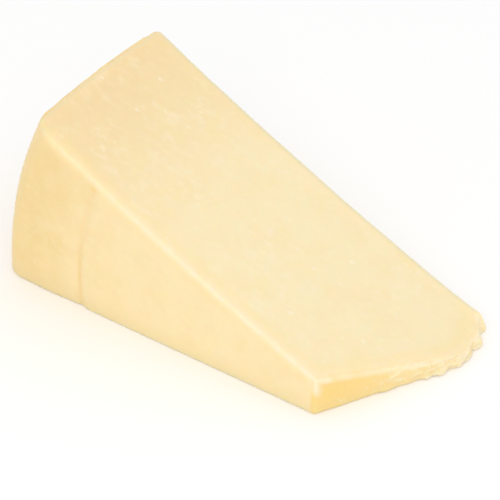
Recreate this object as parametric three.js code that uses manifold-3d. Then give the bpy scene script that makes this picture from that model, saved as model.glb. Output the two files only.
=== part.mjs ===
// A wedge of hard pressed cheese, lying on one of its two long cut faces.
//
// The piece is a sector of a round wheel. The wheel was first halved across its thickness,
// then cut into wedges, and last a knife took the thin tip off at a slant. The thin corner
// beside that last cut broke away instead of cutting clean.
//
// Frame, in millimetres: +Z is up and the lower cut face lies on Z = 0. The wheel's axis runs
// along Y, with the moulded flat side of the wheel at -Y and the halving cut at +Y. The rind is
// at -X and the tip at +X. The origin is the middle of the bounding box's underside.

import * as THREE from 'three';
import { mergeVertices } from 'three/addons/utils/BufferGeometryUtils.js';
import Module from 'manifold-3d';

// Driving dimensions.
const WHEEL_RADIUS = 152.4; // the rind at its fullest ring
const PIECE_WIDTH = 65; // half of a wheel 130 mm thick, measured along the wheel's axis
const WEDGE_ANGLE = THREE.MathUtils.degToRad(24.5); // between the two long cut faces
const TOP_DIP = 3.1; // how far the upper cut face sags between the tip and the rind

// The rind, seen in section: a slow bulge with a rounded shoulder at the moulded side.
const RIND_BULGE_RADIUS = 450;
const FULLEST_RING_Y = 14;
const SHOULDER_RADIUS = 5.5;

// The moulded side: a flat disc that stands proud of the band around it, with a crease at its foot.
const DISC_RADIUS = 121;
const DISC_STEP = 0.8; // how far the band lies below the disc
const DISC_ROUNDING = 4.5; // width of the disc's rounded edge
const CREASE_DEPTH = 0.5; // below the band
const CREASE_WIDTH = 1.6;

// The slanted knife cut that took the tip off. Its setback is measured from the wheel's axis,
// which is also where the two long cut faces would meet.
const KNIFE_CUT_SETBACK = 33.4; // on the moulded side
const KNIFE_CUT_SLANT = 0.52; // how much closer to the axis it comes for each mm of width

// Two flat chips snapped off the thin corner beside that cut. Each face goes through a point on
// the lower cut face, given by its distance from the axis and its place across the wheel.
const CHIPS = [
  { setback: 9.3, y: 17, normal: new THREE.Vector3(1, 0.03, 0.12) },
  { setback: 9.3, y: 24.2, normal: new THREE.Vector3(1, 0.41, 0.25) },
];

// How finely the round stretches are divided.
const DEGREES_PER_FACET = 1.5;
const ARC_DIVISIONS = 4;
const DIP_DIVISIONS = 24;

const SIDE_Y = -PIECE_WIDTH / 2; // the moulded side's disc
const HALVING_CUT_Y = PIECE_WIDTH / 2;
const MARGIN = 12; // how far a cutting shape runs past the cheese

const wasm = await Module();
wasm.setup();

// A closed three.js geometry as a manifold-3d solid.
function solidFrom(geometry) {
  const bare = geometry.clone();
  bare.deleteAttribute('normal');
  bare.deleteAttribute('uv');
  const merged = mergeVertices(bare);
  const vertProperties = new Float32Array(merged.attributes.position.array);
  const triVerts = new Uint32Array(merged.index.array);
  return new wasm.Manifold(new wasm.Mesh({ numProp: 3, vertProperties, triVerts }));
}

// A manifold-3d solid as a three.js geometry.
function geometryFrom(solid) {
  const mesh = solid.getMesh();
  const geometry = new THREE.BufferGeometry();
  geometry.setAttribute('position', new THREE.BufferAttribute(mesh.vertProperties, 3));
  geometry.setIndex(new THREE.BufferAttribute(mesh.triVerts, 1));
  geometry.computeVertexNormals();
  return geometry;
}

// Half of the whole wheel, turned about Y from a section with X as the radius.
function halfWheel() {
  const bandY = SIDE_Y + DISC_STEP;
  const creaseY = bandY + CREASE_DEPTH;
  const bulgeCentreX = WHEEL_RADIUS - RIND_BULGE_RADIUS;

  // The shoulder's arc touches the band and, from inside, the bulge's arc.
  const shoulderY = bandY + SHOULDER_RADIUS;
  const shoulderRise = shoulderY - FULLEST_RING_Y;
  const shoulderReach = RIND_BULGE_RADIUS - SHOULDER_RADIUS;
  const shoulderX = bulgeCentreX + Math.sqrt(shoulderReach ** 2 - shoulderRise ** 2);
  const meetingAngle = Math.atan2(shoulderRise, shoulderX - bulgeCentreX);
  const farAngle = Math.asin((HALVING_CUT_Y - FULLEST_RING_Y) / RIND_BULGE_RADIUS);

  const section = new THREE.Path();
  section.moveTo(0, SIDE_Y);
  section.lineTo(DISC_RADIUS - DISC_ROUNDING, SIDE_Y);
  section.quadraticCurveTo(DISC_RADIUS - 1, SIDE_Y, DISC_RADIUS, creaseY);
  section.lineTo(DISC_RADIUS + CREASE_WIDTH, bandY);
  section.absarc(shoulderX, shoulderY, SHOULDER_RADIUS, -Math.PI / 2, meetingAngle);
  section.absarc(bulgeCentreX, FULLEST_RING_Y, RIND_BULGE_RADIUS, meetingAngle, farAngle);
  section.lineTo(0, HALVING_CUT_Y);

  // Half a facet of turn keeps the facets' edges off the cut faces.
  const facets = 360 / DEGREES_PER_FACET;
  const halfFacet = THREE.MathUtils.degToRad(DEGREES_PER_FACET / 2);
  return new THREE.LatheGeometry(section.getPoints(ARC_DIVISIONS), facets, halfFacet);
}

// The space between the two long cuts, as a bar along Y whose upper side dips.
function wedgeSector() {
  const cutLength = WHEEL_RADIUS * Math.cos(WEDGE_ANGLE);
  const cutHeight = (distance) => {
    const along = distance / cutLength;
    return distance * Math.tan(WEDGE_ANGLE) - 4 * TOP_DIP * along * (1 - along);
  };
  const reach = WHEEL_RADIUS + MARGIN;
  const outline = new THREE.Shape();
  outline.moveTo(0, 0);
  for (let step = 1; step <= DIP_DIVISIONS; step += 1) {
    const distance = (reach * step) / DIP_DIVISIONS;
    outline.lineTo(-distance, cutHeight(distance));
  }
  outline.lineTo(-reach, 0);
  const depth = PIECE_WIDTH + 2 * MARGIN;
  const bar = new THREE.ExtrudeGeometry(outline, { depth, bevelEnabled: false, curveSegments: 1 });
  bar.rotateX(Math.PI / 2);
  bar.translate(0, depth / 2, 0);
  return bar;
}

// Everything beyond a plane, as a block big enough to take the whole tip off.
function blockBeyond(point, normal) {
  const side = 2 * PIECE_WIDTH;
  const block = new THREE.BoxGeometry(side, side, side);
  block.translate(0, 0, side / 2);
  const up = new THREE.Vector3(0, 0, 1);
  const turn = new THREE.Quaternion().setFromUnitVectors(up, normal.clone().normalize());
  block.applyQuaternion(turn);
  block.translate(point.x, point.y, point.z);
  return block;
}

// The blocks that the knife and the two chips took away.
function lostTip() {
  const knifePoint = new THREE.Vector3(-KNIFE_CUT_SETBACK, SIDE_Y, 0);
  const knifeNormal = new THREE.Vector3(1, -KNIFE_CUT_SLANT, 0);
  const chips = CHIPS.map((chip) => {
    const point = new THREE.Vector3(-chip.setback, chip.y, 0);
    return blockBeyond(point, chip.normal);
  });
  return [blockBeyond(knifePoint, knifeNormal), ...chips];
}

function cheeseWedge() {
  let cheese = solidFrom(halfWheel()).intersect(solidFrom(wedgeSector()));
  for (const block of lostTip()) {
    cheese = cheese.subtract(solidFrom(block));
  }
  const geometry = geometryFrom(cheese);
  geometry.computeBoundingBox();
  const middle = geometry.boundingBox.getCenter(new THREE.Vector3());
  geometry.translate(-middle.x, -middle.y, -geometry.boundingBox.min.z);

  const paste = new THREE.MeshStandardMaterial({ color: 0xfbe4b0, roughness: 0.55, metalness: 0 });
  const mesh = new THREE.Mesh(geometry, paste);
  mesh.name = 'cheese_wedge';
  return mesh;
}

const part = new THREE.Group();
part.add(cheeseWedge());

export default part;
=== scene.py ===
# %% [markdown]
# # A wedge of hard cheese
#
# This lesson makes one piece of a hard, pale, pressed cheese, cut from a round wheel. The CAD
# model already holds its size and place. Here it gets its looks: soft knife-cut edges, a moulded
# side with a worn crease, a tip that crumbled where the thin paste broke, and a paste with
# crystals, mottling and a little light passing through it.

# %% Load the frame
import math
import random
import bmesh
import bpy
from mathutils import Matrix, Vector, noise


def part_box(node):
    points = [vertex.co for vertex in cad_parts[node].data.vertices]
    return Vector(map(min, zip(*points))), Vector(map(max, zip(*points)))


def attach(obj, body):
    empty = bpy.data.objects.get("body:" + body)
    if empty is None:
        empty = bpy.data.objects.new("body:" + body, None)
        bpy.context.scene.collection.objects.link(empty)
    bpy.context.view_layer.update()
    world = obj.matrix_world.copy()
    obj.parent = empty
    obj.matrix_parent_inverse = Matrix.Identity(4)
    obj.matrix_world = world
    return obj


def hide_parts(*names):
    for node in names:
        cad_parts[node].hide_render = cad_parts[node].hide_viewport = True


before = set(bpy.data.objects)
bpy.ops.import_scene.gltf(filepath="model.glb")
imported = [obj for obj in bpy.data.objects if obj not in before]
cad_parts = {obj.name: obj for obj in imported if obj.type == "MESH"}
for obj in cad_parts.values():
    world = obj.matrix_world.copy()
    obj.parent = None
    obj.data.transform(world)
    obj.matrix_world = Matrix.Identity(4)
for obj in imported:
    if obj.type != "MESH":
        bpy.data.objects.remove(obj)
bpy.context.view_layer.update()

MM = 0.001
low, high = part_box("cheese_wedge")
print("CAD wedge, mm:", [round(side / MM, 1) for side in high - low])

# %% [markdown]
# ## The camera
#
# The wedge is seen from above its near long edge, from about two thirds of a metre away and
# through a long lens, so its long sides stay almost parallel. A camera could be aimed with a
# constraint. Here its angles are turned into a matrix instead, because a view is easy to read as
# an azimuth, an elevation and a roll. It aims at a point between the rind and the axis of the
# wheel that the wedge was cut from, and that axis is what most of the sizes below are taken from.

# %% Place the camera
VIEW_AZIMUTH = math.radians(33.46)
VIEW_ELEVATION = math.radians(36.52)
VIEW_ROLL = math.radians(1.78)
VIEW_DISTANCE = 675.2 * MM
WHEEL_RADIUS = 152.4 * MM
axis_x = low.x + WHEEL_RADIUS
VIEW_TARGET_SETBACK = 79.35 * MM
VIEW_TARGET_HEIGHT = 20.8 * MM
LENS = 158.4
SENSOR = 36.0
view_target = Vector((axis_x - VIEW_TARGET_SETBACK, 0.0, VIEW_TARGET_HEIGHT))

camera_data = bpy.data.cameras.new("camera")
camera_data.lens = LENS
camera_data.sensor_width = SENSOR
camera = bpy.data.objects.new("camera", camera_data)
turn = (
    Matrix.Rotation(VIEW_AZIMUTH, 4, "Z")
    @ Matrix.Rotation(math.pi / 2 - VIEW_ELEVATION, 4, "X")
    @ Matrix.Rotation(VIEW_ROLL, 4, "Z")
)
towards_camera = turn.col[2].xyz
camera.matrix_world = Matrix.Translation(view_target + towards_camera * VIEW_DISTANCE) @ turn
bpy.context.scene.collection.objects.link(camera)
bpy.context.scene.camera = camera
print("camera at, mm:", [round(c / MM) for c in camera.matrix_world.translation])

# %% [markdown]
# ## The cheese as a block: turn a section of the wheel
#
# A wheel of cheese is round, so the plainest way to make a sector of it is the way a potter would:
# draw half of its section once and turn it about the wheel's axis, only as far as the wedge is
# wide. A primitive cylinder would need more cutting and would have no rounded shoulder. The
# section lies in the lower cut face. Its outer side is the rind, which bulges slowly. Its corner
# at the moulded side was rounded by the mould, and the one at the halving cut was worn a little.
# Both get a vertex bevel.

# %% Turn the sector
WEDGE_ANGLE = math.radians(24.5)
BULGE_RADIUS = 450 * MM
FULLEST_RING_Y = 14 * MM
SHOULDER_SIZE = 5.8 * MM
WORN_CORNER_SIZE = 1.6 * MM
INNER_START = 5 * MM
RIND_STEPS = 8
CORNER_SEGMENTS = 6
TURN_STEPS = 24
HAIR = 0.01 * MM
side_y = low.y
halving_y = high.y


def bulge(y):
    """Radius of the rind at a place across the wheel."""
    rise = y - FULLEST_RING_Y
    return WHEEL_RADIUS - BULGE_RADIUS + math.sqrt(BULGE_RADIUS**2 - rise**2)


def turned_sector():
    """The sector as a closed mesh, before any knife work on its tip."""
    bm = bmesh.new()
    outline = [(INNER_START, side_y)]
    for step in range(RIND_STEPS + 1):
        y = side_y + (halving_y - side_y) * step / RIND_STEPS
        outline.append((bulge(y), y))
    outline.append((INNER_START, halving_y))
    corners = [bm.verts.new((axis_x - radius, y, 0)) for radius, y in outline]
    bm.faces.new(corners)
    for corner, size in ((corners[-2], WORN_CORNER_SIZE), (corners[1], SHOULDER_SIZE)):
        bmesh.ops.bevel(
            bm, geom=[corner], offset=size, segments=CORNER_SEGMENTS,
            profile=0.5, affect="VERTICES", material=-1,
        )
    bmesh.ops.spin(
        bm, geom=bm.verts[:] + bm.edges[:] + bm.faces[:], cent=(axis_x, 0, 0),
        axis=(0, 1, 0), angle=WEDGE_ANGLE, steps=TURN_STEPS,
    )
    bmesh.ops.remove_doubles(bm, verts=bm.verts, dist=HAIR)
    bmesh.ops.recalc_face_normals(bm, faces=bm.faces)
    return bm


cheese = turned_sector()
print("sector:", len(cheese.faces), "faces, volume, cm3:", round(cheese.calc_volume() * 1e6, 1))
print("open edges:", sum(not e.is_manifold for e in cheese.edges))

# %% [markdown]
# ## The slanted knife cut and the broken corner
#
# The thin tip was taken off by one upright, slanted cut. Close to the halving cut the paste was
# too thin to hold, and the corner snapped off in flat chips. Both are planes, so both are made
# with a bisect: it slices the mesh, throws away the side of the tip, and the open rim is filled. A
# boolean with a block would do the same, but leaves less tidy edges.

# %% Cut the tip
KNIFE_SETBACK = 33.4 * MM
KNIFE_SLANT = 0.52
CHIPS = (
    # setback from the axis, place across the wheel, and the way the chipped face looks
    (10.0 * MM, 17 * MM, (1, 0.03, 0.05)),
    (10.4 * MM, 24.2 * MM, (1, 0.41, 0.25)),
)


def knife_x(y):
    """Where the slanted cut crosses a place across the wheel."""
    return axis_x - KNIFE_SETBACK + KNIFE_SLANT * (y - side_y)


knife_cut = (Vector((knife_x(0), 0, 0)), Vector((1, -KNIFE_SLANT, 0)).normalized())
end_planes = [knife_cut]
for setback, y, normal in CHIPS:
    end_planes.append((Vector((axis_x - setback, y, 0)), Vector(normal).normalized()))


def slice_off(bm, plane):
    """Cut with a plane, drop what lies on its far side and close the cut."""
    point, normal = plane
    everything = bm.verts[:] + bm.edges[:] + bm.faces[:]
    bmesh.ops.bisect_plane(bm, geom=everything, plane_co=point, plane_no=normal, clear_outer=True)
    rim = [edge for edge in bm.edges if edge.is_boundary]
    bmesh.ops.contextual_create(bm, geom=rim)


for plane in end_planes:
    slice_off(cheese, plane)
print("after the cuts, cm3:", round(cheese.calc_volume() * 1e6, 1))

# %% [markdown]
# ## Soft edges
#
# Cheese never keeps a razor edge: a wire or knife drags it, and hands and wrapping wear it. The
# edges of the moulded side are worn most, and what stands on the table least. One bevel can serve
# them all if each edge carries its own weight, as a share of the widest rounding. The weights are
# set here, and a Bevel modifier reads them when the skin is made.

# %% Weigh the edges for rounding
RIDGE_ROUNDING = 1.5 * MM
PLAIN_ROUNDING = 0.75 * MM
TABLE_ROUNDING = 0.15 * MM
SHARP_TURN = math.radians(20)


def edge_rounding(edge):
    """Radius of an edge's rounding."""
    if all(vert.co.z < HAIR for vert in edge.verts):
        return TABLE_ROUNDING
    if all(vert.co.y < side_y + HAIR for vert in edge.verts):
        return RIDGE_ROUNDING
    return PLAIN_ROUNDING


weights = cheese.edges.layers.float.new("bevel_weight_edge")
sharp = [edge for edge in cheese.edges if edge.calc_face_angle(0) > SHARP_TURN]
for edge in sharp:
    edge[weights] = edge_rounding(edge) / RIDGE_ROUNDING
print("edges to round:", len(sharp))

# %% [markdown]
# ## Flakes along the broken edge
#
# Where the paste snapped, it tore along its layers, and flat flakes of the lower layers stand out
# of the edge. Each is a squashed ball, half sunk in the broken faces, that the next step fuses
# with the body. The big ones shape the outline, so they are listed one by one: how far from the
# wheel's axis, how far across, how high, and their three radii. The small ones between them are
# drawn from a seeded random generator, so every run gives the same cheese.

# %% Press the big flakes into the break
FLAKES = (
    # setback, place across and height, then the three radii, mm
    ((11.9, 17.2, 1.3), (2.1, 2.6, 1.4)),
    ((11.9, 12.2, 1.4), (1.9, 3.0, 1.2)),
    ((13.4, 7.4, 0.8), (2.0, 3.6, 1.0)),
    ((16.0, 2.4, 0.9), (1.9, 2.8, 1.0)),
    ((19.0, -2.8, 0.8), (1.5, 3.0, 0.8)),
)
FLAKE_TURN = 0.4
FLAKE_TILT = 0.3
flake_draw = random.Random(7)


def add_flake(bm, centre, radii, turn):
    """One squashed ball, turned about the vertical."""
    place = (
        Matrix.Translation(centre)
        @ Matrix.Rotation(turn, 4, "Z")
        @ Matrix.Rotation(flake_draw.uniform(-FLAKE_TILT, FLAKE_TILT), 4, "X")
        @ Matrix.Diagonal((*radii, 1))
    )
    bmesh.ops.create_icosphere(bm, subdivisions=3, radius=1, matrix=place)


for (setback, y, z), radii in FLAKES:
    centre = Vector((axis_x - setback * MM, y * MM, z * MM))
    add_flake(cheese, centre, Vector(radii) * MM, flake_draw.uniform(-FLAKE_TURN, FLAKE_TURN))
print("flakes placed:", len(FLAKES))

# %% Scatter the small flakes
SMALL_FLAKES = 12
SMALL_FLAKE_TURN = -0.45
SMALL_FLAKE_DEPTH = 1.1
ACROSS_RANGE = (-14, 30)
HEIGHT_RANGE = (0.6, 3.0)
LENGTH_RANGE = (1.2, 2.4)
THICKNESS_RANGE = (0.5, 0.8)
CHIPPED_SETBACK = 10.6 * MM
CHIPPED_TURN_Y = 22 * MM
CHIPPED_SLANT = 0.4
SUNK = 0.4 * MM


def end_x(y):
    """Just inside the end's face, at a place across the wheel."""
    chipped_x = axis_x - (CHIPPED_SETBACK + max(0, y - CHIPPED_TURN_Y) * CHIPPED_SLANT)
    return min(knife_x(y), chipped_x) - SUNK


for _ in range(SMALL_FLAKES):
    y = flake_draw.uniform(*ACROSS_RANGE) * MM
    centre = Vector((end_x(y), y, flake_draw.uniform(*HEIGHT_RANGE) * MM))
    length = flake_draw.uniform(*LENGTH_RANGE)
    size = Vector((SMALL_FLAKE_DEPTH, length, flake_draw.uniform(*THICKNESS_RANGE)))
    add_flake(cheese, centre, size * MM, SMALL_FLAKE_TURN)
print("flakes drawn:", SMALL_FLAKES)

# %% [markdown]
# ## One even skin
#
# A worn surface needs vertices everywhere, not only at its corners. The bevel rounds the weighted
# edges first. Then a voxel remesh wraps the block and its flakes in one closed skin of small even
# quads, and two rounds of smoothing take the voxel grid's stair steps off.

# %% Remesh
SKIN_QUAD = 0.75 * MM
BEVEL_SEGMENTS = 4
SMOOTH_ROUNDS = 2


def finished_mesh(bm, name, voxel):
    """Give a bmesh to a Remesh modifier and take the result as a mesh of its own."""
    rough = bpy.data.meshes.new(name + "_rough")
    bm.to_mesh(rough)
    bm.free()
    carrier = bpy.data.objects.new(name + "_carrier", rough)
    bpy.context.scene.collection.objects.link(carrier)
    rounding = carrier.modifiers.new("rounding", "BEVEL")
    rounding.limit_method = "WEIGHT"
    rounding.width = RIDGE_ROUNDING
    rounding.segments = BEVEL_SEGMENTS
    rounding.profile = 0.5
    remesh = carrier.modifiers.new("skin", "REMESH")
    remesh.mode = "VOXEL"
    remesh.voxel_size = voxel
    evaluated = carrier.evaluated_get(bpy.context.evaluated_depsgraph_get())
    result = bpy.data.meshes.new_from_object(evaluated)
    bpy.data.objects.remove(carrier)
    bpy.data.meshes.remove(rough)
    return result


def soften(bm, verts):
    """Move each vertex half way to the middle of its neighbours."""
    bmesh.ops.smooth_vert(
        bm, verts=verts, factor=0.5, use_axis_x=True, use_axis_y=True, use_axis_z=True
    )


skin_mesh = finished_mesh(cheese, "cheese", SKIN_QUAD)
skin = bmesh.new()
skin.from_mesh(skin_mesh)
bpy.data.meshes.remove(skin_mesh)
for _ in range(SMOOTH_ROUNDS):
    soften(skin, skin.verts)
print("skin:", len(skin.faces), "faces")

# %% [markdown]
# ## Knowing where a vertex is
#
# Everything that follows depends on where on the cheese a vertex lies: how deep it is below each
# face, how far from the nearest edge, how far from the wheel's axis. Working that out from the
# wedge's own dimensions is steadier than painting masks, and it survives a change of mesh.

# %% Measure places
def ease(start, end, value):
    """0 before start, 1 after end, and a smooth ramp between them."""
    share = min(max((value - start) / (end - start), 0.0), 1.0)
    return share * share * (3 - 2 * share)


def hump(offset, width):
    """A bell curve: 1 at no offset, near 0 beyond two widths."""
    return math.exp(-((offset / width) ** 2))


def break_depth(point):
    """How deep a point lies behind the knife cut and the two chipped faces."""
    return min((co - point).dot(normal) for co, normal in end_planes)


class Place:
    """Where a point of the skin lies on the wedge, in metres and radians."""

    def __init__(self, point):
        reach = axis_x - point.x
        self.radius = math.hypot(reach, point.z)
        self.angle = math.atan2(point.z, reach)
        self.side = point.y - side_y
        self.halving = halving_y - point.y
        self.upper = reach * math.sin(WEDGE_ANGLE) - point.z * math.cos(WEDGE_ANGLE)
        self.lower = point.z
        self.rind = bulge(point.y) - self.radius
        self.end = break_depth(point)
        depths = (self.side, self.halving, self.upper, self.lower, self.rind, self.end)
        self.edge = max(sorted(depths)[1], 0.0)


# %% [markdown]
# ## Finer quads at the break
#
# The rubble at the tip has lumps of one to three millimetres, which the even skin is too coarse
# for. A finer skin all over would be wasteful, so the quads are divided only there: once in a
# strip behind the break, and once more close to it. The split leaves a few faces with more than
# four corners at the strip's border, which are made into triangles.

# %% Divide the quads at the break
STRIP_REACHES = (5 * MM, 1.8 * MM)
CLEAN_CUT_SHARE = 0.4
CLEAN_CUT_Y = -12 * MM


def near_break(point, reach):
    """Whether the skin needs finer quads here: the clean end of the knife cut needs a thin strip."""
    depth = break_depth(point)
    return depth < CLEAN_CUT_SHARE * reach or (depth < reach and point.y > CLEAN_CUT_Y)


for reach in STRIP_REACHES:
    fine_edges = [e for e in skin.edges if all(near_break(v.co, reach) for v in e.verts)]
    bmesh.ops.subdivide_edges(skin, edges=fine_edges, cuts=1, use_grid_fill=True)
    bmesh.ops.triangulate(skin, faces=[f for f in skin.faces if len(f.verts) > 4])
    soften(skin, [v for v in skin.verts if near_break(v.co, reach)])
triangles = sum(len(face.verts) - 2 for face in skin.faces)
print("skin at the break divided:", triangles, "triangles")

# %% [markdown]
# ## The dip of the upper cut
#
# A long knife is pushed down through a stiff paste and bows, so the upper cut sags a little
# between the rind and the tip. Each vertex is lowered in proportion to its height, which keeps the
# lower cut flat on the table.

# %% Sag the upper cut
TOP_DIP = 3.1 * MM
SHORTEST_ALONG = 0.02
cut_length = WHEEL_RADIUS * math.cos(WEDGE_ANGLE)


def sag_share(point):
    """What is left of a height once the upper cut sags. At the axis there is no height to share."""
    along = max((axis_x - point.x) / cut_length, SHORTEST_ALONG)
    full_height = cut_length * along * math.tan(WEDGE_ANGLE)
    return 1 - 4 * TOP_DIP * along * (1 - along) / full_height


places = [Place(vert.co) for vert in skin.verts]
for vert in skin.verts:
    vert.co.z *= sag_share(vert.co)
print("sag at half length, mm:", TOP_DIP / MM)

# %% [markdown]
# ## The rind settles
#
# The paste just above the table carries the whole piece, so the rind swells a little there, most
# of all by the rounded shoulder.

# %% Swell the foot of the rind
FOOT_SWELL = 0.9 * MM
SWELL_ANGLES = (0.10, 0.40)
SWELL_DEPTH = 30 * MM
SWELL_WIDTHS = (10 * MM, 40 * MM)
for vert, place in zip(skin.verts, places):
    amount = 1 - ease(*SWELL_ANGLES, place.angle)
    amount *= 1 - ease(0, SWELL_DEPTH, place.rind)
    amount *= 1 - ease(*SWELL_WIDTHS, place.side)
    vert.co.x -= FOOT_SWELL * amount
print("foot of the rind swells by, mm:", FOOT_SWELL / MM)

# %% [markdown]
# ## The cloth's print on the rind
#
# A wheel is pressed in cheesecloth. The threads leave a fine checkered print on the rind, and
# where the cloth was folded over itself it leaves a long shallow groove. The print is deep enough
# to catch light along its crests, so it is moved into the mesh: threads run across the wheel and
# around it, and noise lifts the cloth off the paste in places. What each vertex was moved is kept,
# because the finish of the rind shades its hollows.

# %% Print the cloth
THREAD_PITCH = 2.9 * MM
PRINT_DEPTH = 0.10 * MM
WORN_PATCH = 9 * MM
FOLD_DEPTH = 0.45 * MM
FOLD_WIDTH = 1.0 * MM
FOLD_HEIGHT = 27 * MM
FOLD_SLOPE = 0.16
FOLD_WANDER = 1.5 * MM
FOLD_WAVE = 14 * MM
PRINT_REACH = (0.2 * MM, 2.5 * MM)
PRINT_MARGIN = (0.5 * MM, 4 * MM)


def cloth_print(place, y):
    """Relief of the rind: the checkered print, worn away in patches, and one fold."""
    around = place.angle * WHEEL_RADIUS
    threads = math.cos(math.tau * around / THREAD_PITCH) * math.cos(math.tau * y / THREAD_PITCH)
    worn = 0.5 + noise.noise(Vector((around, y, 0)) / WORN_PATCH)
    wander = FOLD_WANDER * noise.noise(Vector((y / FOLD_WAVE, 4, 9)))
    from_fold = around - FOLD_HEIGHT - FOLD_SLOPE * y - wander
    return PRINT_DEPTH * threads * worn - FOLD_DEPTH * hump(from_fold, FOLD_WIDTH)


printed = []
for vert, place in zip(skin.verts, places):
    share = 1 - ease(*PRINT_REACH, place.rind)
    share *= ease(*PRINT_MARGIN, min(place.side, place.halving, place.upper))
    rise = cloth_print(place, vert.co.y) * share if share > 0 else 0.0
    vert.co.x -= rise
    printed.append(rise / MM)
print("print depth, mm:", PRINT_DEPTH / MM, "fold:", FOLD_DEPTH / MM)

# %% [markdown]
# ## The moulded side
#
# The mould's lid left a flat disc on the side of the wheel. The band outside it stands a little
# lower, and a crease runs round the foot of the disc. The press was not quite true, so the crease
# wanders by a few millimetres. It is a sharp line near the lower cut, fades higher up, and ends in
# a small nick just below the ridge. Faint rings from the cheesecloth run along with it. A texture
# could fake all this, but the step also shows in the outline at the foot, so the side is really
# pressed in.

# %% Find the crease
CREASE_RADIUS = 120.6 * MM
CREASE_WANDER = 9.2 * MM
CREASE_WIDTH_LOW = 0.8 * MM
CREASE_WIDTH_HIGH = 2.2 * MM
CREASE_FADE_ANGLES = (0.13, 0.27)
CREASE_FADE = 0.6
NICK_ANGLE = 0.398
NICK_SIZE = 0.9 * MM
SIDE_REACH = (0.5 * MM, 6 * MM)


def crease_radius(angle):
    """The crease's distance from the axis, which grows with the angle above the lower cut."""
    return CREASE_RADIUS + CREASE_WANDER * angle


def on_side(place):
    """1 on the moulded side, fading out over the paste just behind it."""
    return 1 - ease(*SIDE_REACH, place.side)


def crease_amount(place):
    """1 in the crease's bottom, 0 away from it. Low down it is a sharp line, higher up it fades."""
    high_up = ease(*CREASE_FADE_ANGLES, place.angle)
    width = CREASE_WIDTH_LOW + (CREASE_WIDTH_HIGH - CREASE_WIDTH_LOW) * high_up
    return (1 - CREASE_FADE * high_up) * hump(place.radius - crease_radius(place.angle), width)


def nick_amount(place):
    """1 in the small nick where the crease runs out, just below the ridge."""
    across = place.radius - crease_radius(place.angle)
    along = (place.angle - NICK_ANGLE) * place.radius
    return hump(math.hypot(across, along), NICK_SIZE)


print("crease, mm from the axis:", [round(crease_radius(a) / MM, 1) for a in (0, WEDGE_ANGLE)])

# %% Press the moulded side
CREASE_DEPTH = 0.36 * MM
NICK_DEPTH = 0.22 * MM
BAND_DROP = 0.65 * MM
BAND_START = 0.3 * MM
BAND_CROWN = 0.38 * MM
BAND_CROWN_AT = 11 * MM
BAND_CROWN_WIDTH = 8 * MM
DISC_ROUNDING = 4.5 * MM
RING_PITCH = 2.6 * MM
RING_DEPTH = 0.045 * MM
RING_BREAKS = 2.2
BELOW_RIDGE = (1 * MM, 7 * MM)
RIDGE_SHARE = 0.25


def side_drop(place):
    """How far the moulded side lies behind the disc's flat."""
    outside = place.radius - crease_radius(place.angle)
    band = BAND_DROP * ease(-DISC_ROUNDING, BAND_START, outside)
    crown = BAND_CROWN * hump(outside - BAND_CROWN_AT, BAND_CROWN_WIDTH)
    ring_at = Vector((place.radius / RING_PITCH, place.angle * RING_BREAKS, 3.7))
    rings = RING_DEPTH * noise.noise(ring_at)
    below_ridge = RIDGE_SHARE + (1 - RIDGE_SHARE) * ease(*BELOW_RIDGE, place.upper)
    pressed = (band - crown + CREASE_DEPTH * crease_amount(place)) * below_ridge
    return pressed + rings + NICK_DEPTH * nick_amount(place)


for vert, place in zip(skin.verts, places):
    vert.co.y += side_drop(place) * on_side(place)
print("disc stands proud by, mm:", BAND_DROP / MM)

# %% [markdown]
# ## Lobes of the break
#
# Hard cheese doesn't cut where it is thin, it tears along its layers of curd. The tear leaves
# rounded lobes with notches between them, which shape the outline of the tip. Like the big flakes,
# they are listed one by one: bell curves along the break that push it out, or in where the push is
# negative, most of all just above the table.

# %% Push out the lobes of the break
outwards = Vector((1.0, -0.25, 0.0)).normalized()
LOBE_WAIST_Z = 2.0 * MM
LOBE_HEIGHT = 1.8 * MM
LOBE_WAIST_SHARE = 0.4
LOBE_REACH = (0.8 * MM, 7 * MM)
LOBES = (
    # across, width and push, mm
    (32.8, 2.0, 2.5),
    (25.0, 2.2, 1.7),
    (20.7, 1.0, -0.9),
    (17.6, 1.8, 0.5),
    (12.0, 1.8, 0.3),
)


def lobe_push(point):
    """How far the break stands out at a point, in mm: the lobes are fullest below their middle."""
    waist = hump(point.z - LOBE_WAIST_Z, LOBE_HEIGHT)
    fullness = 1 - LOBE_WAIST_SHARE + LOBE_WAIST_SHARE * waist
    return fullness * sum(push * hump(point.y / MM - at, width) for at, width, push in LOBES)


for vert, place in zip(skin.verts, places):
    share = 1 - ease(*LOBE_REACH, place.end)
    vert.co += outwards * (lobe_push(vert.co) * share * MM)
print("lobes of the break:", len(LOBES))
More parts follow.
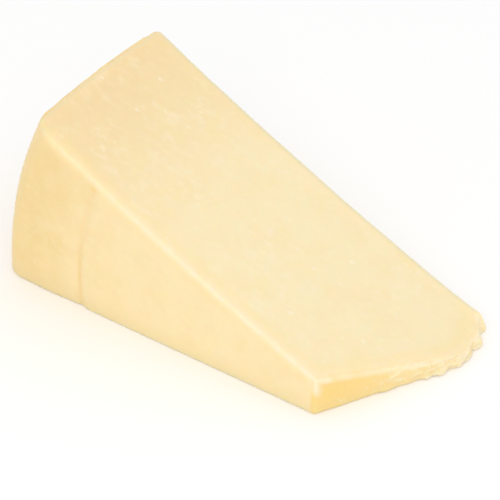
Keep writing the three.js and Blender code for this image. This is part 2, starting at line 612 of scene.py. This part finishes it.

# %% [markdown]
# ## Rubble at the break
#
# Between the lobes the torn face is rubble. Noise that is stretched level and squeezed upright
# gives long soft ridges that lie flat, and small Voronoi cells on top of them are the grains of
# curd. A short upright crack runs down where the cut gave way to the tear. The knife cut beside it
# stays nearly smooth, so the amount of rubble fades there, and thin paste at the far end tore more
# evenly, so it is calmer. How high each vertex came to lie is kept for the finish, which paints the
# crests pale as painted highlight and the hollows deeper as painted shade. The lobes near the
# halving cut get painted light as well.

# %% Measure the tear
TEAR = Vector((5.0, 4.4, 1.5)) * MM
FINE_TEAR = 2.6
FINE_SHARE = 0.2
TEAR_READ_AT = Vector((3, 1, 6))
CLEAN_CUT_TEAR = 0.06
TEAR_START = (-16 * MM, -7 * MM)
START_GAIN = 0.8
TEAR_FULL = (0, 10 * MM)
FULL_GAIN = 0.14
TEAR_REACH = (0.6 * MM, 3.0 * MM)
CALM_FROM = (19 * MM, 24 * MM)
CALM_SHARE = 0.65
FOOT_HEIGHTS = (1.5 * MM, 4.5 * MM)
FOOT_ENDS = (-2 * MM, 4 * MM)
FOOT_CALM = 0.65
CRACK_Y = 3.2 * MM
CRACK_WIDTH = 0.24 * MM
CRACK_WANDER = 0.9 * MM
CRACK_WAVE = 2 * MM
CRACK_FOOT = (1.5 * MM, 3 * MM)


def broken_amount(point, place):
    """1 on the snapped faces, less at the knife cut's foot and little where it is clean."""
    along = CLEAN_CUT_TEAR + START_GAIN * ease(*TEAR_START, point.y)
    along += FULL_GAIN * ease(*TEAR_FULL, point.y)
    foot = (1 - ease(*FOOT_HEIGHTS, place.lower)) * (1 - ease(*FOOT_ENDS, point.y))
    return along * (1 - FOOT_CALM * foot) * (1 - ease(*TEAR_REACH, place.end))


def tear_relief(point):
    """The torn surface: long soft ridges that lie flat, from about -0.5 to 0.5."""
    flat_ridges = Vector((point.x / TEAR.x, point.y / TEAR.y, point.z / TEAR.z))
    calm = 1 - CALM_SHARE * ease(*CALM_FROM, point.y)
    ridges = (1 - FINE_SHARE) * noise.noise(flat_ridges + TEAR_READ_AT)
    return calm * (ridges + FINE_SHARE * noise.noise(flat_ridges * FINE_TEAR))


def crack_relief(point):
    """A short upright crack that wanders down the broken face."""
    wander = CRACK_WANDER * noise.noise(Vector((0, 2, point.z / CRACK_WAVE)))
    return -hump(point.y - CRACK_Y - wander, CRACK_WIDTH) * ease(*CRACK_FOOT, point.z)


print("the tear is full from y, mm:", TEAR_FULL[1] / MM, "and the crack is at:", CRACK_Y / MM)

# %% Raise the rubble
TEAR_HEIGHT = 1.2 * MM
CURD_SIZE = 1.3 * MM
CURD_HEIGHT = 0.30 * MM
CRACK_DEPTH = 0.4 * MM
FACING = (0.15, 0.7)
CUT_ROUGHNESS = 0.35
ROUGH_FROM = (-3 * MM, 6 * MM)
# painted light lifted onto the lobes near the halving cut
LOBE_PAINTED_LIGHT_SPAN = (16 * MM, 21 * MM)
LOBE_PAINTED_LIGHT = 0.35
CURD_PAINT = 0.3
SIDEWAYS_SHARE = 0.25
skin.normal_update()
normals = [vert.normal.copy() for vert in skin.verts]
broken = []
relief = []
for vert, place, normal in zip(skin.verts, places, normals):
    amount = broken_amount(vert.co, place)
    height = 0.0
    if amount > 0:
        facing = ease(*FACING, normal.dot(outwards))
        height = tear_relief(vert.co)
        curd = 0.5 - noise.voronoi(vert.co / CURD_SIZE)[0][0]
        rough = CUT_ROUGHNESS + (1 - CUT_ROUGHNESS) * ease(*ROUGH_FROM, vert.co.y)
        move = amount * rough * (TEAR_HEIGHT * height + CURD_HEIGHT * curd)
        vert.co += outwards * (facing * (move + CRACK_DEPTH * crack_relief(vert.co)))
        # the stored height paints highlight on crests and shade in hollows; the lobes get painted
        # light
        height = (height + CURD_PAINT * curd) * facing + LOBE_PAINTED_LIGHT * ease(*LOBE_PAINTED_LIGHT_SPAN, vert.co.y)
        amount *= SIDEWAYS_SHARE + (1 - SIDEWAYS_SHARE) * facing
    broken.append(amount)
    relief.append(height * amount)
print("vertices in the rubble:", sum(amount > 0.2 for amount in broken))

# %% [markdown]
# ## Knife drag, hand wear and curd on the large faces
#
# No face of a real piece is a true plane. Slow swells come from the block relaxing after the cut,
# and a fine grain from the curd itself. These moves are tenths of a millimetre: too small to see
# as shape, but they break up the highlights. The lower cut keeps to the table.

# %% Unsettle the flat faces
SWELLS = (
    # pitch and height
    (24 * MM, 0.22 * MM),
    (7 * MM, 0.06 * MM),
    (2.2 * MM, 0.028 * MM),
)
SWELLS_READ_AT = Vector((5, 8, 2))
FREE_HEIGHT = 1.5 * MM
for vert, place, normal in zip(skin.verts, places, normals):
    lift = sum(size * noise.noise(vert.co / pitch + SWELLS_READ_AT) for pitch, size in SWELLS)
    free = ease(0.0, FREE_HEIGHT, place.lower)
    vert.co += normal * (lift * free)
for vert in skin.verts:
    vert.co.z = max(vert.co.z, 0.0)
print("swells, mm:", [size / MM for _, size in SWELLS])

# %% [markdown]
# ## The wedge and what it remembers
#
# The skin is done, so it becomes the mesh of the one object. Cheese has no material borders: dry
# outside, moist inside, pale crests and dark hollows all fade into each other. So each vertex
# keeps a number for each of these, worked out from its place, and one material reads them all.
# Vertex colours could hold the finished colour instead, but then its speckles would be no finer
# than the mesh.

# %% Make the wedge
mesh = bpy.data.meshes.new("cheese_wedge_paste")
skin.to_mesh(mesh)
skin.free()
mesh.shade_smooth()
wedge = bpy.data.objects.new("cheese_paste", mesh)
bpy.context.scene.collection.objects.link(wedge)
print("wedge:", len(mesh.vertices), "vertices")

# %% Measure the edges for their painted light and the wear of the crest
LINE_REACH = (4 * MM, 8 * MM)
RIDGE_START = (1 * MM, 9 * MM)
RIDGE_AT_RIND = 0.52
RIDGE_GAIN = 0.5
RIDGE_LENGTH = 70 * MM
END_EDGE_STOP = (1 * MM, 4 * MM)
END_EDGE_SHARE = 0.75
FACE_SKIN = (0.8 * MM, 2.0 * MM)
WEAR_STRETCH = 0.88
KNIFE_STRETCH = 0.6
MOULD_STRETCH = 0.25
PALE_FROM = (-26 * MM, -4 * MM)
PALE_SHARE = 0.4


def edge_highlight_and_wear_strength(place):
    """How pale the crest of the nearest edge is, as painted highlight and wear: the near ridge and
    the end's edge most.
    """
    ridge = 1 - ease(*LINE_REACH, max(place.side, place.upper))
    along = RIDGE_AT_RIND + RIDGE_GAIN * ease(0, RIDGE_LENGTH, place.rind)
    ridge *= ease(*RIDGE_START, place.rind) * along
    end_edge = 1 - ease(*LINE_REACH, max(place.end, place.upper))
    end_edge *= ease(*END_EDGE_STOP, place.halving)
    return max(ridge, END_EDGE_SHARE * end_edge)


def edge_band_distance(place):
    """Distance to the nearest edge, in mm, stretched on the faces where the painted edge bands are
    narrower.
    """
    on_knife_cut = 1 - ease(*FACE_SKIN, place.end)
    on_mould = 1 - ease(*FACE_SKIN, place.side)
    stretch = WEAR_STRETCH + KNIFE_STRETCH * on_knife_cut + MOULD_STRETCH * on_mould
    return place.edge / MM * stretch


def knife_shade_and_glow_share(vert, place):
    """How deep the painted shade and glow on the knife cut are: they fade as the paste gets thinner.
    """
    pale = PALE_SHARE * ease(*PALE_FROM, vert.co.y)
    return (1 - pale) * (1 - ease(*FACE_SKIN, place.end))


print("palest crest:", round(max(edge_highlight_and_wear_strength(place) for place in places), 2))

# %% Store the numbers
FOOT_SHADE = 9 * MM
RIPE_AND_SHADE_DEPTH = 62 * MM
MOULD_SKIN = (1.2 * MM, 2.4 * MM)
RIND_SKIN = (0.3 * MM, 1.4 * MM)


def store(name, values):
    """Keep one number per vertex on the mesh, for the material to read."""
    attribute = mesh.attributes.new(name, "FLOAT", "POINT")
    attribute.data.foreach_set("value", values)


store("edge_distance", [edge_band_distance(place) for place in places])
# strength of the pale crest: painted highlight and wear
store("edge_highlight_and_wear_line", [edge_highlight_and_wear_strength(place) for place in places])
store("broken", broken)
store("relief", relief)
store("moulded", [1 - ease(*MOULD_SKIN, place.side) for place in places])
store("rind", [1 - ease(*RIND_SKIN, place.rind) for place in places])
# ripening and painted shade: 1 at the rind, fading towards the axis
store("ripeness_and_shade", [1 - ease(0, RIPE_AND_SHADE_DEPTH, place.rind) for place in places])
store("printed", printed)
store("foot", [1 - ease(0, FOOT_SHADE, place.lower) for place in places])
# painted shade in the bottom of the crease, and below in its nick
store("crease", [crease_amount(place) * on_side(place) for place in places])
store("nick_shade", [nick_amount(place) * on_side(place) for place in places])
# painted shade and glow of the knife cut
store("knife_face_shade_and_glow", [knife_shade_and_glow_share(vert, place) for vert, place in zip(mesh.vertices, places)])
print("attributes:", [attribute.name for attribute in mesh.attributes])

# %% [markdown]
# ## A painter's helpers for node trees
#
# The finish is painted with nodes. Wiring each one by hand would bury the recipe in plumbing, so a
# small helper makes a node, sets or links its inputs by name and hands back its output. Colours
# are written as they look on a screen and turned into the linear numbers that Blender reckons
# with.


# %% Node helpers
def screen(red, green, blue):
    """A screen colour, 0 to 255, as Blender's linear colour."""
    shares = [channel / 255 for channel in (red, green, blue)]
    linear = [s / 12.92 if s <= 0.04045 else ((s + 0.055) / 1.055) ** 2.4 for s in shares]
    return (*linear, 1.0)


class Recipe:
    """A material, with short calls for the nodes that its recipe needs."""

    def __init__(self, name):
        self.material = bpy.data.materials.new(name)
        self.material.use_nodes = True
        self.tree = self.material.node_tree
        self.shader = self.tree.nodes["Principled BSDF"]
        self.place = self.tree.nodes.new("ShaderNodeTexCoord").outputs["Object"]

    def feed(self, socket, value):
        """Link an output to a socket, or set the socket's own value."""
        if isinstance(value, bpy.types.NodeSocket):
            self.tree.links.new(value, socket)
        else:
            socket.default_value = value

    def node(self, kind, settings, inputs, output=0):
        """Make a node, apply its settings and inputs, and hand back one of its outputs."""
        made = self.tree.nodes.new("ShaderNode" + kind)
        for name, value in settings.items():
            setattr(made, name, value)
        for name, value in inputs.items():
            self.feed(made.inputs[name], value)
        return made.outputs[output]

    def reading(self, name):
        """A number that is stored on the mesh."""
        return self.node("Attribute", {"attribute_name": name}, {}, "Fac")

    def speckle(self, size, detail=2.0, place=None):
        """Noise from 0 to 1 with lumps of a size in metres."""
        where = place or self.place
        inputs = {"Vector": where, "Scale": 1 / size, "Detail": detail}
        return self.node("TexNoise", {}, inputs, "Fac")

    def dots(self, spacing, place=None):
        """Distance from the nearest of many scattered points, as a share of their spacing."""
        inputs = {"Vector": place or self.place, "Scale": 1 / spacing}
        return self.node("TexVoronoi", {}, inputs, "Distance")

    def ramp(self, value, start, end, low=0.0, high=1.0):
        """Ease a value from low at start to high at end."""
        inputs = {"Value": value, "From Min": start, "From Max": end, "To Min": low, "To Max": high}
        return self.node("MapRange", {"interpolation_type": "SMOOTHSTEP"}, inputs)

    def math(self, operation, first, second):
        """One sum of two numbers."""
        return self.node("Math", {"operation": operation}, {0: first, 1: second})

    def tint(self, share, under, over):
        """Paint one colour over another by a share."""
        return self.node("Mix", {"data_type": "RGBA"}, {0: share, 6: under, 7: over}, 2)

    def squeezed(self, turns, scale):
        """The place on the cheese, turned and stretched, so that a pattern on it is drawn out."""
        inputs = {"Vector": self.place, "Rotation": turns, "Scale": scale}
        return self.node("Mapping", {"vector_type": "TEXTURE"}, inputs)


print("half white in linear numbers:", round(screen(128, 128, 128)[0], 3))

# %% [markdown]
# ## The paste
#
# The paste is pale ivory, warmer and drier towards the rind, where it ripens first, and darker there
# too, partly as painted shade where less light reaches the back of the piece. At arm's length it is
# mottled, because the curds were pressed together without melting into one. One flat colour would
# look like wax. A painted image would show its grain only where it was painted, so the mottling is
# noise that fills the whole block, as the curds do. Broad lumps make soft shades. Small ones, drawn
# out the way the knife went, make pale flecks, and they come in clusters.

# %% Mix the paste
PASTE = screen(247, 229, 187)
# the riper colour towards the rind also carries painted shade, where less light reaches the back
PASTE_RIPE_AND_SHADED = screen(241, 215, 165)
SHADE = screen(244, 223, 168)
FLECK = screen(251, 235, 206)
SHADE_SIZE = 11 * MM
SHADE_RANGE = (0.35, 0.75)
SHADE_SHARE = 0.45
CLUSTER_SIZE = 13 * MM
CLUSTER_RANGE = (0.4, 0.65)
CURD_SPECK = 2.6 * MM
CURD_RANGE = (0.42, 0.75)
CURD_SHARES = (0.14, 0.46)
DRAG_TURN = math.radians(20)
DRAG_TILT = math.radians(23)
DRAG_STRETCH = (1.3, 1.0, 1.0)
recipe = Recipe("cheese_paste")
dragged = recipe.squeezed((0.0, DRAG_TILT, DRAG_TURN), DRAG_STRETCH)
ripeness_and_shade = recipe.reading("ripeness_and_shade")
# darker towards the rind: riper paste and painted shade
colour = recipe.tint(ripeness_and_shade, PASTE, PASTE_RIPE_AND_SHADED)
broad = recipe.ramp(recipe.speckle(SHADE_SIZE, detail=3.0), *SHADE_RANGE)
colour = recipe.tint(recipe.math("MULTIPLY", broad, SHADE_SHARE), colour, SHADE)
clusters = recipe.speckle(CLUSTER_SIZE)
curds = recipe.ramp(recipe.speckle(CURD_SPECK, detail=3.0, place=dragged), *CURD_RANGE)
curds = recipe.math("MULTIPLY", curds, recipe.ramp(clusters, *CLUSTER_RANGE, *CURD_SHARES))
colour = recipe.tint(curds, colour, FLECK)
print("nodes in the paste's base:", len(recipe.tree.nodes))

# %% [markdown]
# ## The moulded side is warmer
#
# The moulded side was the outside of the wheel, so it dried for months while the cut faces are
# fresh. It is a shade deeper all over. Towards the rind it is deeper still, in loose patches: partly
# riper paste, and partly painted shade where the side turns away from the light towards the
# shoulder. A second material on its faces would leave a hard border, so the number stored for that
# side fades its colour in.

# %% Warm the moulded side
MOULDED = screen(249, 225, 174)
# deeper towards the rind: riper paste and painted shade where the side turns from the light
MOULDED_RIPE_AND_SHADED = screen(239, 210, 142)
PATCH_SIZE = 7 * MM
PATCH_SHARES = (-0.25, 0.25)
MIDDLE_RANGE = (0.3, 0.7)
RIPE_AND_SHADE_RANGE = (0.5, 1.0)
MOULDED_SHARE = 0.65
moulded = recipe.reading("moulded")
patches = recipe.ramp(recipe.speckle(PATCH_SIZE), *MIDDLE_RANGE, *PATCH_SHARES)
moulded_ripeness_and_shade = recipe.math("ADD", recipe.ramp(ripeness_and_shade, *RIPE_AND_SHADE_RANGE), patches)
moulded_colour = recipe.tint(moulded_ripeness_and_shade, MOULDED, MOULDED_RIPE_AND_SHADED)
colour = recipe.tint(recipe.math("MULTIPLY", moulded, MOULDED_SHARE), colour, moulded_colour)
print("patches on the moulded side, mm:", PATCH_SIZE / MM)

# %% [markdown]
# ## Edges: painted glow and a painted grey rim
#
# Light enters cheese on one side of an edge and leaves on the other, so the flanks of an edge look
# yellower than the middle of a face. Away from the pale crest, a thin greyish rim is painted right
# at the edges, as painted shade where the rounded edge turns from the light. Real scattering below
# the surface makes some of the glow, but a viewer that shows only the colour would lose it, so it is
# painted too. Both follow the stored distance to the edge. The foot gets little of the rim.

# %% Edges: painted glow on the flanks and a painted grey rim
FLANK = screen(249, 224, 163)
GREY_EDGE_RIM_SHADE = screen(227, 217, 184)
FLANK_WIDTH = 6.2
FLANK_SHARE = 0.75
FLANK_LINE = (0.0, 0.75)
FLANK_LINE_SHARES = (0.2, 1.0)
RIM_WIDTHS = (0.1, 2.4)
RIM_SHARE = 0.75
RIM_LINE = (0.0, 0.5)
RIM_FOOT = (0.0, 0.6)
RIM_FOOT_SHARES = (1.0, 0.3)
edge_distance = recipe.reading("edge_distance")
edge_highlight_and_wear_line = recipe.reading("edge_highlight_and_wear_line")
flank = recipe.ramp(edge_distance, 0.0, FLANK_WIDTH, FLANK_SHARE, 0.0)
flank = recipe.math("MULTIPLY", flank, recipe.ramp(edge_highlight_and_wear_line, *FLANK_LINE, *FLANK_LINE_SHARES))
colour = recipe.tint(flank, colour, FLANK)
# painted shade: a thin greyish rim right at the edges, away from the crest and the foot
rim = recipe.ramp(edge_distance, *RIM_WIDTHS, RIM_SHARE, 0.0)
rim = recipe.math("MULTIPLY", rim, recipe.ramp(edge_highlight_and_wear_line, *RIM_LINE, 1.0, 0.0))
foot = recipe.reading("foot")
rim = recipe.math("MULTIPLY", rim, recipe.ramp(foot, *RIM_FOOT, *RIM_FOOT_SHARES))
colour = recipe.tint(rim, colour, GREY_EDGE_RIM_SHADE)
print("nodes with the edges:", len(recipe.tree.nodes))

# %% [markdown]
# ## The crease and the rind
#
# The bottom of the crease is painted darker, as painted shade, and the nick at its top deeper
# yellow still, painted shade in a small hollow. The rind is the oldest paste, tan and blotched, and
# the hollows of the cloth's print hold more of the dark than its crests, because the wheel was
# brushed. The same relief that moved the vertices shades it, so the paint and the shape can't drift
# apart.

# %% Crease and rind
CREASE_SHADE = screen(243, 211, 146)
NICK_SHADE = screen(246, 211, 132)
RIND = screen(243, 214, 156)
RIND_DARK = screen(235, 202, 139)
CREASE_SHADE_SHARE = 0.7
NICK_SHADE_SHARE = 0.9
BLOTCH_SIZE = 6 * MM
PRINT_RANGE = (-0.25, 0.1)
PRINT_SHARES = (0.8, -0.25)
RIND_SHARE = 0.85
# painted shade in the crease and the nick
crease = recipe.math("MULTIPLY", recipe.reading("crease"), CREASE_SHADE_SHARE)
colour = recipe.tint(crease, colour, CREASE_SHADE)
nick_shade = recipe.math("MULTIPLY", recipe.reading("nick_shade"), NICK_SHADE_SHARE)
colour = recipe.tint(nick_shade, colour, NICK_SHADE)
rind = recipe.reading("rind")
blotches = recipe.ramp(recipe.speckle(BLOTCH_SIZE, detail=4.0), *MIDDLE_RANGE)
hollows = recipe.ramp(recipe.reading("printed"), *PRINT_RANGE, *PRINT_SHARES)
patina = recipe.math("ADD", blotches, hollows)
rind_colour = recipe.tint(patina, RIND, RIND_DARK)
colour = recipe.tint(recipe.math("MULTIPLY", rind, RIND_SHARE), colour, rind_colour)
print("nodes with the rind:", len(recipe.tree.nodes))

# %% [markdown]
# ## The two faces of the end
#
# A knife closes the surface of the paste and light sinks deep into it. The fresh slanted cut is
# painted the yellowest face, with painted shade and painted glow, deepest near the moulded side.
# Torn paste is full of tiny facets that throw the light back, so the broken part is pale. Its crests
# are painted paler and its hollows deeper, as painted highlight and painted shade: the relief stored
# with the rubble picks between a high and a deep colour. Noise makes the border between cut and
# break uneven, as a tear is.

# %% The end: painted shade and glow where the knife went, pale with painted highlight and shade where it broke
KNIFE_FACE_SHADE_AND_GLOW = screen(249, 215, 137)
TORN_CREST_HIGHLIGHT = screen(252, 234, 194)
TORN_HOLLOW_SHADE = screen(251, 225, 166)
RELIEF_RANGE = (-0.12, 0.22)
LUMP_SIZE = 2.6 * MM
LUMP_SHARES = (-0.3, 0.3)
TORN_RANGE = (0.25, 0.85)
broken_share = recipe.reading("broken")
knife_face_shade_and_glow = recipe.reading("knife_face_shade_and_glow")
# painted shade and glow on the knife cut
colour = recipe.tint(knife_face_shade_and_glow, colour, KNIFE_FACE_SHADE_AND_GLOW)
height = recipe.reading("relief")
# painted highlight on the crests of the rubble, painted shade in its hollows
torn_highlight_and_shade = recipe.tint(recipe.ramp(height, *RELIEF_RANGE), TORN_HOLLOW_SHADE, TORN_CREST_HIGHLIGHT)
lumps = recipe.ramp(recipe.speckle(LUMP_SIZE), *MIDDLE_RANGE, *LUMP_SHARES)
torn_share = recipe.ramp(recipe.math("ADD", broken_share, lumps), *TORN_RANGE)
colour = recipe.tint(torn_share, colour, torn_highlight_and_shade)
print("nodes with the end:", len(recipe.tree.nodes))

# %% [markdown]
# ## Shade at the foot, flecks, crystals and pits
#
# Close to the table less light comes in from below, and a viewer without soft shadows would miss
# that, so the foot is painted a little deeper. Then come the small things that say this is aged
# cheese: more pale flecks, white crystals of about a millimetre, and now and then a pinhole, a dark
# dot of painted shade where the mesh has no hole.
# Crystals sit apart from each other, which is what Voronoi cells are good at, and noise breaks the
# dots up. Flecks are fewer on the moulded side, where the mould closed the surface.

# %% Shade the foot
FOOT = screen(238, 213, 160)
FOOT_SHARES = (0.35, 0.9)
foot_share = recipe.math("MULTIPLY", foot, recipe.ramp(ripeness_and_shade, 0.0, 1.0, *FOOT_SHARES))
colour = recipe.tint(foot_share, colour, FOOT)
print("the foot is shaded up to, mm:", FOOT_SHADE / MM)

# %% Flecks, crystals and pits
CRYSTAL = screen(255, 243, 222)
PINHOLE_SHADE = screen(214, 184, 130)
FLECK_SIZE = 1.7 * MM
FLECK_RANGE = (0.60, 0.74)
FLECK_SHARES = (0.12, 0.55)
MOULD_FLECKS = 0.45
CRYSTAL_SPACING = 7.5 * MM
CRYSTAL_RADII = (0.03, 0.14)
CRYSTAL_GRIT = 1.2 * MM
GRIT_RANGE = (0.4, 0.6)
GRIT_SHARES = (0.2, 0.6)
MOULD_CRYSTALS = 0.25
CUT_CRYSTALS = 0.4
PIT_SPACING = 26 * MM
PIT_RADII = (0.008, 0.02)
PIT_SHARE = 0.7
flecks = recipe.ramp(recipe.speckle(FLECK_SIZE, place=dragged), *FLECK_RANGE)
flecks = recipe.math("MULTIPLY", flecks, recipe.ramp(moulded, 0.0, 1.0, 1.0, MOULD_FLECKS))
flecks = recipe.math("MULTIPLY", flecks, recipe.ramp(clusters, *CLUSTER_RANGE, *FLECK_SHARES))
colour = recipe.tint(flecks, colour, FLECK)
crystals = recipe.ramp(recipe.dots(CRYSTAL_SPACING, dragged), *CRYSTAL_RADII, 1.0, 0.0)
grit = recipe.ramp(recipe.speckle(CRYSTAL_GRIT), *GRIT_RANGE, *GRIT_SHARES)
crystals = recipe.math("MULTIPLY", crystals, grit)
crystals = recipe.math("MULTIPLY", crystals, recipe.ramp(moulded, 0.0, 1.0, 1.0, MOULD_CRYSTALS))
crystals = recipe.math("MULTIPLY", crystals, recipe.ramp(knife_face_shade_and_glow, 0.0, 1.0, 1.0, CUT_CRYSTALS))
colour = recipe.tint(crystals, colour, CRYSTAL)
# painted shade: dark dots for pinholes that the mesh doesn't have
pinhole_shade = recipe.ramp(recipe.dots(PIT_SPACING), *PIT_RADII, PIT_SHARE, 0.0)
colour = recipe.tint(pinhole_shade, colour, PINHOLE_SHADE)
print("nodes with the small marks:", len(recipe.tree.nodes))

# %% [markdown]
# ## The pale crest of the ridge: painted highlight and wear
#
# Last comes the pale line along the near ridge and the end's upper edge. It is partly wear, where
# the surface was rubbed to fine crumbs, and partly a painted highlight, where the rounded edge
# catches the light. It goes over everything else, so little below it shows through. It is drawn only
# where the stored strength of the line says so, and noise makes it wax and wane.

# %% Paint the crest pale: painted highlight and wear
CREST_HIGHLIGHT_AND_WEAR = screen(252, 231, 198)
CREST_WIDTHS = (0.2, 3.9)
CREST_PATCH = 4 * MM
CREST_RANGE = (0.3, 0.6)
CREST_SHARES = (0.65, 1.0)
# painted highlight and wear along the crest of the edges
crest = recipe.ramp(edge_distance, *CREST_WIDTHS, 1.0, 0.0)
crest = recipe.math("MULTIPLY", crest, edge_highlight_and_wear_line)
crest_highlight_and_wear_patches = recipe.ramp(recipe.speckle(CREST_PATCH), *CREST_RANGE, *CREST_SHARES)
colour = recipe.tint(recipe.math("MULTIPLY", crest, crest_highlight_and_wear_patches), colour, CREST_HIGHLIGHT_AND_WEAR)
recipe.feed(recipe.shader.inputs["Base Color"], colour)
print("nodes in the whole colour:", len(recipe.tree.nodes))

# %% [markdown]
# ## Grain, gloss and glow
#
# A cut face feels like fine sandpaper, and it has an uneven satin sheen where butterfat came to
# the surface. Grain this fine would need millions of vertices, so it is a bump of about a tenth of
# a millimetre: curd grain, wider pores, and crystals that stand proud. Light travels a few
# millimetres through the paste, red furthest, which softens every shadow edge. Subsurface
# scattering does this. Kept moderate, it leaves the painted mottling readable.

# %% Finish the surface
GRAIN_SIZE = 0.9 * MM
PORE_SIZE = 3.2 * MM
PORE_DEPTH = 1.2
CRYSTAL_HEIGHT = 0.5
BUMP_STRENGTH = 0.5
BUMP_DISTANCE = 0.18 * MM
SHEEN_PATCH = 5 * MM
ROUGHNESS_RANGE = (0.44, 0.58)
GLOW_DEPTH = 4 * MM
grain = recipe.speckle(GRAIN_SIZE, detail=4.0)
pores = recipe.speckle(PORE_SIZE, detail=3.0)
surface = recipe.math("ADD", grain, recipe.math("MULTIPLY", pores, PORE_DEPTH))
surface = recipe.math("ADD", surface, recipe.math("MULTIPLY", crystals, CRYSTAL_HEIGHT))
bump_inputs = {"Height": surface, "Strength": BUMP_STRENGTH, "Distance": BUMP_DISTANCE}
recipe.feed(recipe.shader.inputs["Normal"], recipe.node("Bump", {}, bump_inputs))
gloss = recipe.ramp(recipe.speckle(SHEEN_PATCH, detail=4.0), *MIDDLE_RANGE, *ROUGHNESS_RANGE)
recipe.feed(recipe.shader.inputs["Roughness"], gloss)
recipe.shader.inputs["Subsurface Weight"].default_value = 0.4
recipe.shader.inputs["Subsurface Radius"].default_value = (1.0, 0.6, 0.25)
recipe.shader.inputs["Subsurface Scale"].default_value = GLOW_DEPTH
recipe.shader.inputs["IOR"].default_value = 1.42
mesh.materials.append(recipe.material)
print("paste nodes:", len(recipe.tree.nodes))

# %% [markdown]
# ## A white table
#
# The wedge lies on plain white paper that runs out of view on every side, so nothing but a faint
# shadow tells where the table is. A large plane in a matt white, just short of pure, does it. It
# isn't part of the cheese, so it is staged.

# %% Lay the paper
PAPER_SIZE = 4.0
PAPER_WHITE = screen(253, 253, 253)
bpy.ops.mesh.primitive_plane_add(size=PAPER_SIZE)
floor = bpy.context.active_object
floor.name = "floor"
floor_recipe = Recipe("floor_paper")
floor_recipe.shader.inputs["Base Color"].default_value = PAPER_WHITE
floor_recipe.shader.inputs["Roughness"].default_value = 0.9
floor.data.materials.append(floor_recipe.material)
print("paper, m:", [round(side) for side in floor.dimensions[:2]])

# %% [markdown]
# ## Light like a white tent
#
# Food is often lit in a tent of white cloth: light comes from all round, with a little more from
# one side. The tent is the world's even white. A large soft box above and behind the camera keeps
# the moulded side as bright as the upper cut, and a weak one overhead lifts the top. Small hard
# lamps would throw shadows that a tent doesn't have. The Standard view keeps white paper white.

# %% Light the tent
TENT_STRENGTH = 0.86
LAMPS = (
    # name, place, size of the box, in metres, and watts
    ("key", (0.5, -0.9, 1.0), 0.8, 4.2),
    ("overhead", (0.1, 0.1, 1.4), 1.0, 1.0),
)
LAMP_TARGET = Vector((0, 0, 0.02))
world = bpy.data.worlds.new("studio")
world.use_nodes = True
world.node_tree.nodes["Background"].inputs["Strength"].default_value = TENT_STRENGTH
world.node_tree.nodes["Background"].inputs["Color"].default_value = (1, 1, 1, 1)
bpy.context.scene.world = world
bpy.context.scene.view_settings.view_transform = "Standard"


def soft_light(name, place, size, watts):
    """A square soft box aimed at the middle of the wedge."""
    data = bpy.data.lights.new(name, "AREA")
    data.size = size
    data.energy = watts
    lamp = bpy.data.objects.new(name, data)
    lamp.location = place
    aim = LAMP_TARGET - lamp.location
    lamp.rotation_euler = aim.to_track_quat("-Z", "Y").to_euler()
    bpy.context.scene.collection.objects.link(lamp)


for lamp_facts in LAMPS:
    soft_light(*lamp_facts)
print("lamps:", [facts[0] for facts in LAMPS])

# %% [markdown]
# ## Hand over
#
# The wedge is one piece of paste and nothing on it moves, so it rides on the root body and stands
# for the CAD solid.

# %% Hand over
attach(wedge, "root")
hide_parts("cheese_wedge")
